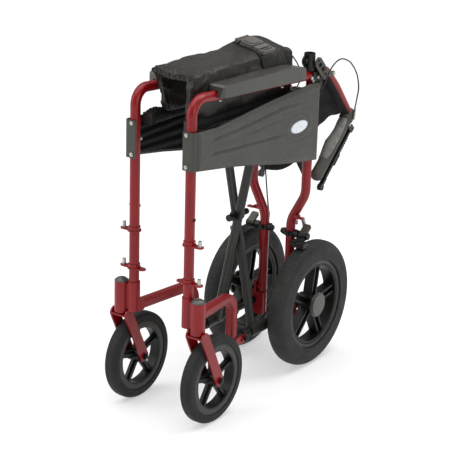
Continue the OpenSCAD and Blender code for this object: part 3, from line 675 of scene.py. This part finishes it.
def seat_ring(y):
    """The folded seat's section at y: a padded band up one side, over the top and down the other."""
    top, foot, out, pad = seat_top(y), 662.0, 57.0, 15.0
    outer, inner = [(out, foot)], [(out - pad, foot)]
    for a in range(0, 91, 10):
        outer.append((out - 13 + 13 * math.cos(math.radians(a)), top - 16 + 13 * math.sin(math.radians(a))))
    for a in range(90, 181, 15):
        outer.append((10 - out + 10 * math.cos(math.radians(a)), top - 10 + 10 * math.sin(math.radians(a))))
    for a in range(0, 91, 15):
        inner.append((out - pad - 12 + 12 * math.cos(math.radians(a)), top - 30 + 12 * math.sin(math.radians(a))))
    for a in range(90, 181, 30):
        inner.append((12 - out + pad + 8 * math.cos(math.radians(a)) - 4, top - 26 + 8 * math.sin(math.radians(a))))
    return outer + [(-out, foot), (pad - out, foot)] + inner[::-1]


rows = [SEAT_FRONT + (SEAT_REAR - SEAT_FRONT) * i / SEAT_STEPS for i in range(SEAT_STEPS + 1)]
seat_points = [(x, y, z) for y in rows for x, z in seat_ring(y)]
seat_faces = tube_faces(len(rows), len(seat_ring(0)))
seat = piece("seat_cover", seat_points, seat_faces, "fabric_seat", None, "fabric_black", smooth=180)


def remesh(obj, size):
    """Gives the object an even mesh, with faces of about the size in millimetres."""
    step = obj.modifiers.new("remesh", "REMESH")
    step.mode, step.voxel_size = "VOXEL", size * MM
    apply(obj)


def apply(obj):
    """Bakes the object's modifiers into its mesh."""
    made = bpy.data.meshes.new_from_object(obj.evaluated_get(bpy.context.evaluated_depsgraph_get()))
    materials = list(obj.data.materials)
    obj.modifiers.clear()
    obj.data = made
    made.materials.clear()
    for m in materials:
        made.materials.append(m)
    made.shade_smooth()


remesh(seat, 5)


def coords(mesh):
    """The mesh's points as rows of x, y and z, in metres."""
    out = np.zeros(len(mesh.vertices) * 3)
    mesh.vertices.foreach_get("co", out)
    return out.reshape(-1, 3)


def puff(obj, pressure, cap, held, frames=20, shrink=-0.04):
    """Blows the padded shell up a little as slack cloth, held where held says, with no point going past cap mm."""
    before = coords(obj.data)
    group = obj.vertex_groups.new(name="held")
    for i, p in enumerate(before):
        weight = held(p / MM)
        if weight > 0:
            group.add([i], weight, "REPLACE")
    cloth = obj.modifiers.new("cloth", "CLOTH")
    s = cloth.settings
    s.quality, s.mass = 5, 0.25
    s.tension_stiffness = s.compression_stiffness = 12
    s.shear_stiffness, s.bending_stiffness = 4, 0.6
    s.effector_weights.gravity = 0
    s.use_pressure, s.uniform_pressure_force = True, pressure
    s.vertex_group_mass, s.pin_stiffness = "held", 1.0
    s.shrink_min = shrink
    cloth.collision_settings.use_collision = False
    cloth.point_cache.frame_start, cloth.point_cache.frame_end = 1, frames
    for f in range(1, frames + 1):
        SCENE.frame_set(f)
    after = coords(obj.evaluated_get(bpy.context.evaluated_depsgraph_get()).data)
    obj.modifiers.clear()
    obj.vertex_groups.clear()
    SCENE.frame_set(1)
    step = after - before
    length = np.linalg.norm(step, axis=1, keepdims=True)
    step *= np.minimum(1, cap * MM / np.maximum(length, 1e-9))
    obj.data.vertices.foreach_set("co", (before + step).ravel())
    obj.data.update()


def seat_hold(p):
    """Where the seat's cloth is sewn down: its feet on the rails, and lines of stitching near its front and rear."""
    _, y, z = p
    weight = 1.0 if z < 670 else 0.0
    for line in (SEAT_FRONT + 12, SEAT_REAR - 15):
        weight = max(weight, 0.9 * (abs(y - line) < 3.2))
    return weight


puff(seat, 3.0, 3.2, seat_hold)
divided = seat.modifiers.new("finer", "SUBSURF")
divided.levels = divided.render_levels = 1
apply(seat)


def dress_seat(mesh):
    """The bulge under the belt, the flaps' slanted front edges, gathered hems, stitching lines and slack folds."""
    points = coords(mesh) / MM
    normals = np.zeros(len(points) * 3)
    mesh.vertices.foreach_get("normal", normals)
    normals = normals.reshape(-1, 3)
    for i, (x, y, z) in enumerate(points):
        top = seat_top(y)
        across = x if z > top - 18 else math.copysign(57 + (top - 18 - z), x)
        near_front, near_rear = 1 - ease(y, SEAT_FRONT + 2, SEAT_FRONT + 16), ease(y, SEAT_REAR - 30, SEAT_REAR - 6)
        gathers = math.sin(across * 0.5 + 2.0 * wobble((across, 0, 0), 0.05, 4))
        gathers *= 0.7 + 0.5 * wobble((across, y, 0), 0.08, 2)
        fine = math.sin(across * 1.1 + 3 * wobble((across, 0, 5), 0.09, 4))
        hem = math.exp(-((y - SEAT_FRONT - 12) / 3.0) ** 2) + math.exp(-((y - SEAT_REAR + 15) / 3.2) ** 2)
        lip = 1.0 if z > top - 30 else 0.45
        out = (2.0 * gathers + 0.8 * fine) * lip * max(near_front, 0.25 * near_rear) - 1.5 * lip * hem
        out += 0.5 * wobble((x, y * 0.4, z), 0.022, 7) + 0.25 * wobble((x, y * 0.6, z), 0.08, 1)
        side = ease(abs(across), 40, 62)
        out += 0.9 * side * math.sin(0.13 * across + 0.05 * y + 3 * wobble((x, y, z), 0.012, 9))
        points[i] += normals[i] * out
        front = 1 - ease(y, SEAT_FRONT, SEAT_FRONT + 90)
        below = max(0.0, 757 - z)
        if x < -25:
            points[i][1] += front * 40 * math.sqrt(min(below, 95) / 95)
        elif x > 25:
            points[i][1] -= front * 13 * ease(below, 0, 18)
        if z > top - 30:
            lift = 16 * ease(y, -70, 15) * (1 - ease(y, 55, 100)) * math.exp(-((x + 12) / 42) ** 2)
            points[i][2] += lift * ease(z, top - 30, top - 8)
            points[i][2] += 3.0 * (1 - ease(y, SEAT_FRONT, -200)) * ease(-x, 10, 55)
    mesh.vertices.foreach_set("co", (points * MM).ravel())
    mesh.update()


dress_seat(seat.data)


def on_seat(origin, way):
    """The first point of the seat's cloth met from origin along way, in millimetres, and the way it faces there."""
    hit, place, normal, _ = seat.ray_cast(Vector(origin) * MM, Vector(way))
    return (place / MM, normal) if hit else (Vector(origin) + Vector(way) * 40, -Vector(way))


def belt_sheet(y0, y1, top_turn, lift):
    """A strap laid over the seat from y0 to y1: up its side and over its top as far as top_turn degrees."""
    points, across = [], 8
    stations = [("side", z) for z in range(700, 741, 8)] + [("turn", a) for a in range(14, top_turn + 1, 4)]
    for kind, value in stations:
        for k in range(across + 1):
            y = y0 + (y1 - y0) * k / across
            if kind == "side":
                place, normal = on_seat((120, y, value), (-1, 0, 0))
            else:
                a = math.radians(value)
                way = Vector((-math.cos(a), 0, -math.sin(a)))
                place, normal = on_seat(Vector((0, y, 740)) - way * 120, way)
            edge = 0.6 if k in (0, across) else 1.0
            points.append(tuple(place + normal * lift * edge))
    return points, sheet_faces(len(stations) - 1, across)


belt_shape = belt_sheet(-27, 38, 84, 2.4)
tail_shape = belt_sheet(-20, 14, 122, 1.5)


def part_of(obj, name, low, high):
    """The part of obj with x between low and high, in millimetres, closed at the cuts."""
    bm = bmesh.new()
    bm.from_mesh(obj.data)
    for place, way in ((low, -1), (high, 1)):
        if place is None:
            continue
        everything = bm.verts[:] + bm.edges[:] + bm.faces[:]
        cut = bmesh.ops.bisect_plane(bm, geom=everything, plane_co=(place * MM, 0, 0), plane_no=(way, 0, 0),
                                     clear_outer=True)
        edges = [e for e in cut["geom_cut"] if isinstance(e, bmesh.types.BMEdge)]
        bmesh.ops.holes_fill(bm, edges=edges, sides=0)
    mesh = bpy.data.meshes.new(name)
    bm.to_mesh(mesh)
    bm.free()
    made = bpy.data.objects.new(name, mesh)
    SCENE.collection.objects.link(made)
    mesh.materials.append(MATERIALS["fabric_seat"])
    mesh.shade_smooth()
    return made


SPLIT = 22  # how far from the middle the cover is parted, inside the fold between the two seat halves
seat_left = part_of(seat, "seat_cover_left", SPLIT, None)
seat_middle = part_of(seat, "seat_cover_middle", -SPLIT, SPLIT)
seat_right = part_of(seat, "seat_cover_right", None, -SPLIT)
bpy.data.objects.remove(seat)
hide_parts("seat_side_left", "seat_top_left")
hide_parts("seat_side_right", "seat_top_right")
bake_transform(seat_left)
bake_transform(seat_middle)
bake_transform(seat_right)


def sleeve_section(t):
    """The section of the seat cover's sleeve round a rail, a little gathered, at the share t of its length."""
    section, around = [], 28
    for k in range(around):
        a = 2 * math.pi * k / around
        r = 13.2 + 0.9 * math.sin(6 * a + 40 * t) * math.sin(90 * t) + 0.6 * math.sin(130 * t)
        section.append((r * math.cos(a), r * math.sin(a)))
    return section


# The seat rails belong to the two crossed frames, so the left one rides on cross_b and the right one on cross_a.
RAIL_BODIES = (("left", 1, "cross_b"), ("right", -1, "cross_a"))
for side, sign, body in RAIL_BODIES:
    sleeve = sweep([(sign * 54, -268 + 7.2 * i, 661.2) for i in range(51)], sleeve_section)
    piece(f"rail_sleeve_{side}", *sleeve, "fabric_black", body, "fabric_black", smooth=180)


def gathered_end():
    """The drawn-up end of the seat's sleeve, which hangs below the front of the flap."""
    points, steps, around = [], 22, 36
    for i in range(steps + 1):
        t = i / steps
        y, z = -234 - 50 * t, 661 + 3 * math.sin(math.pi * t)
        for k in range(around):
            a = 2 * math.pi * k / around
            r = (13.2 + 1.2 * math.sin(math.pi * t)) * (1 - 0.45 * ease(t, 0.86, 1.0))
            r += 1.3 * math.sin(11 * a + 3.5 * wobble((t * 3, a, 0), 1.0)) * ease(t, 0.1, 0.4)
            r += 0.8 * math.sin(34 * t + 2 * a)
            points.append((55 + r * math.cos(a), y, z + 1.12 * r * math.sin(a)))
    return points, tube_faces(steps + 1, around)


for side, sign, body in RAIL_BODIES:
    end_points, end_faces = gathered_end()
    end_points = [(sign * x, y, z) for x, y, z in end_points]
    piece(f"gathered_end_{side}", end_points, end_faces, "fabric_black", body, "fabric_black", smooth=180)

# ---- back cloth ------------------------------------------------------------------------------------


def cloth_sheet(corners, sag, rows=40, columns=28, seed=0):
    """A slack sheet between four corners (tube top, tube foot, middle foot, middle top), hanging in soft folds."""
    a, b, c, d = [np.array(p, float) for p in corners]
    normal = np.cross(b - a, d - a)
    normal /= np.linalg.norm(normal)
    points = []
    for i in range(rows + 1):
        t = i / rows
        for j in range(columns + 1):
            s = j / columns
            p = (a * (1 - t) + b * t) * (1 - s) + (d * (1 - t) + c * t) * s
            drop = sag * math.sin(math.pi * s) * (0.35 + 0.65 * t)
            folds = 3.2 * math.sin(9 * s + 2.4 * wobble((t * 3, s * 2, seed), 1.0)) * math.sin(math.pi * s)
            folds += 1.6 * wobble((t * 9, s * 9, seed), 1.0)
            p = p + normal * folds + np.array([0, 0, -drop])
            points.append(tuple(p))
    return points, sheet_faces(rows, columns)


TUBE_TOP, TUBE_FOOT = Vector((74, 207, 699)), Vector((74, 308, 588))
# Where the cloth lies round the tube, as shares of its radius: outwards, and upwards.
SLEEVE = [(0.862, -0.507), (0.55, -0.83), (0.1, -0.99), (-0.4, -0.91), (-0.75, -0.66)]


def sleeve_line(centre, radius):
    """The cloth's line round the tube at one of its ends."""
    return [tuple(centre + Vector((a * radius, b * radius * 0.71, b * radius * 0.70))) for a, b in SLEEVE]


def at(line, t):
    """The point at the share t of a line's points."""
    place = t * (len(line) - 1)
    i = min(int(place), len(line) - 2)
    return np.array(line[i]) * (1 - place + i) + np.array(line[i + 1]) * (place - i)


def upper_cloth():
    """The back's cloth: it wraps the tube's inner side, runs inwards, and drops into a deep fold at the middle."""
    top = smooth(sleeve_line(TUBE_TOP, 12.4) + [(50, 188, 676), (32, 180, 655), (14, 169, 620), (6, 163, 583),
                                                (3, 160, 545)], 5)
    foot = smooth(sleeve_line(TUBE_FOOT, 12.4) + [(50, 306, 574), (36, 297, 570), (24, 289, 555), (13, 277, 538),
                                                  (5, 257, 482), (3, 243, 431)], 5)
    points, rows, columns = [], 34, 52
    for i in range(rows + 1):
        t = i / rows
        for j in range(columns + 1):
            u = j / columns
            p = at(top, u) * (1 - t) + at(foot, u) * t
            free = ease(u, 0.32, 0.5)
            folds = 2.6 * math.sin(5 * t + 7 * u + 3 * wobble((t * 2, u * 3, 1), 1.0))
            folds += 1.4 * wobble((t * 8, u * 9, 2), 1.0)
            hem = 1.2 * math.sin(30 * u) * ease(t, 0.9, 1.0)
            p = p + np.array([0.6, -0.5, 0.3]) * free * (folds + hem) * (1 - 0.6 * ease(u, 0.9, 1.0))
            points.append(tuple(p))
    return points, sheet_faces(rows, columns)


upper = upper_cloth()
lower = cloth_sheet([(60, 139, 642), (60, 139, 505), (3, 76, 480), (3, 76, 622)], 12, seed=5)
back_cloths = both("back_cloth", upper, "fabric_black", None, "fabric_black", smooth=180, wall=1.6)
for side, sign, sheet_object in sides(back_cloths):
    apply(sheet_object)
    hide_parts(f"back_upper_{side}")
    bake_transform(sheet_object)
lower_cloths = both("lower_cloth", lower, "fabric_black", None, "fabric_black", smooth=180, wall=1.6)
for side, sign, sheet_object in sides(lower_cloths):
    apply(sheet_object)
    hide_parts(f"back_lower_{side}")
    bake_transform(sheet_object)

# ---- belt ------------------------------------------------------------------------------------------
both("belt", belt_shape, "webbing", "seat_top", "fabric_black", smooth=180, wall=2.2)
piece("belt_tail", *tail_shape, "webbing", "seat_top_left", "fabric_black", smooth=180, wall=1.8)
buckle = merge(
    block((-33, -27, -5), (0, 27, 5), 5), block((-30, -20, 4), (-4, 20, 7), 6),
    block((-38, -25, -3), (-33, 25, 3), 1.5), block((-45, -25, -3), (-40, 25, 3), 1.5),
    block((-46, -25, -3), (-33, -21, 3), 1), block((-46, 21, -3), (-33, 25, 3), 1),
    block((3, -25, -4.5), (16, 25, 4.5), 3), block((-1, -22, -2), (4, -13, 2), 0.5),
    block((-1, 13, -2), (4, 22, 2), 0.5), block((-1, -5, -1.5), (4, 5, 1.5), 0.5),
    block((16, -25, -3.5), (30, -20, 3.5), 1), block((16, 20, -3.5), (30, 25, 3.5), 1),
    block((20, -24, -3), (23, 24, 3.5), 1), block((27, -26, -4), (32, 26, 4), 1.5))
buckle_turn = Matrix.Rotation(math.radians(4), 4, "Z") @ Matrix.Rotation(math.radians(16), 4, "Y")
buckle_place = Matrix.Translation((24, 1, 783)) @ buckle_turn
buckle_piece = piece("buckle", *moved(buckle, buckle_place), "buckle_plastic", "seat_top_left", "black_plastic",
                     edge=1.2)
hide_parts("belt_buckle")

# ---- floor and light -------------------------------------------------------------------------------
floor_mesh = bpy.data.meshes.new("floor")
FLOOR_REACH = 60  # metres from the middle to each side, so that no edge shows
corners = [(x * FLOOR_REACH, y * FLOOR_REACH, 0) for x, y in ((-1, -1), (1, -1), (1, 1), (-1, 1))]
floor_mesh.from_pydata(corners, [], [(0, 1, 2, 3)])
floor = bpy.data.objects.new("floor", floor_mesh)
SCENE.collection.objects.link(floor)
floor_shader = Shader("floor")
floor_tone = floor_shader.fit(floor_shader.noise(3.0, 3), 0.3, 0.7, 0.5, 0.53)
floor_mesh.materials.append(floor_shader.finish(Base_Color=floor_tone, Roughness=0.9, Specular_IOR_Level=0.1,
                                                Emission_Color=(1, 1, 1, 1), Emission_Strength=0.46))

world = bpy.data.worlds.new("studio")
SCENE.world = world
world.use_nodes = True
world.node_tree.nodes["Background"].inputs["Color"].default_value = (1, 1, 1, 1)
world.node_tree.nodes["Background"].inputs["Strength"].default_value = 0.3


def soft_light(name, kind, place, aim, energy, **shape):
    """A lamp at place that points at aim."""
    data = bpy.data.lights.new(name, kind)
    data.energy = energy
    for key, value in shape.items():
        setattr(data, key, value)
    light = bpy.data.objects.new(name, data)
    SCENE.collection.objects.link(light)
    light.location = place
    light.rotation_euler = (Vector(aim) - Vector(place)).to_track_quat("-Z", "Y").to_euler()


soft_light("sky", "SUN", (-0.6, -0.5, 3.0), (0, 0, 0), 2.4, angle=math.radians(70))
soft_light("overhead", "AREA", (0.9, 1.0, 2.6), (0, 0, 0.4), 34, shape="RECTANGLE", size=1.6, size_y=2.0)
soft_light("side_box", "AREA", (-2.2, -2.2, 1.7), (0, 0, 0.4), 26, shape="RECTANGLE", size=0.9, size_y=1.8)
soft_light("front_box", "AREA", (3.0, -1.2, 1.5), (0, 0, 0.4), 20, shape="RECTANGLE", size=1.2, size_y=1.6)
SCENE.view_settings.view_transform = "Standard"
SCENE.view_settings.look = "None"
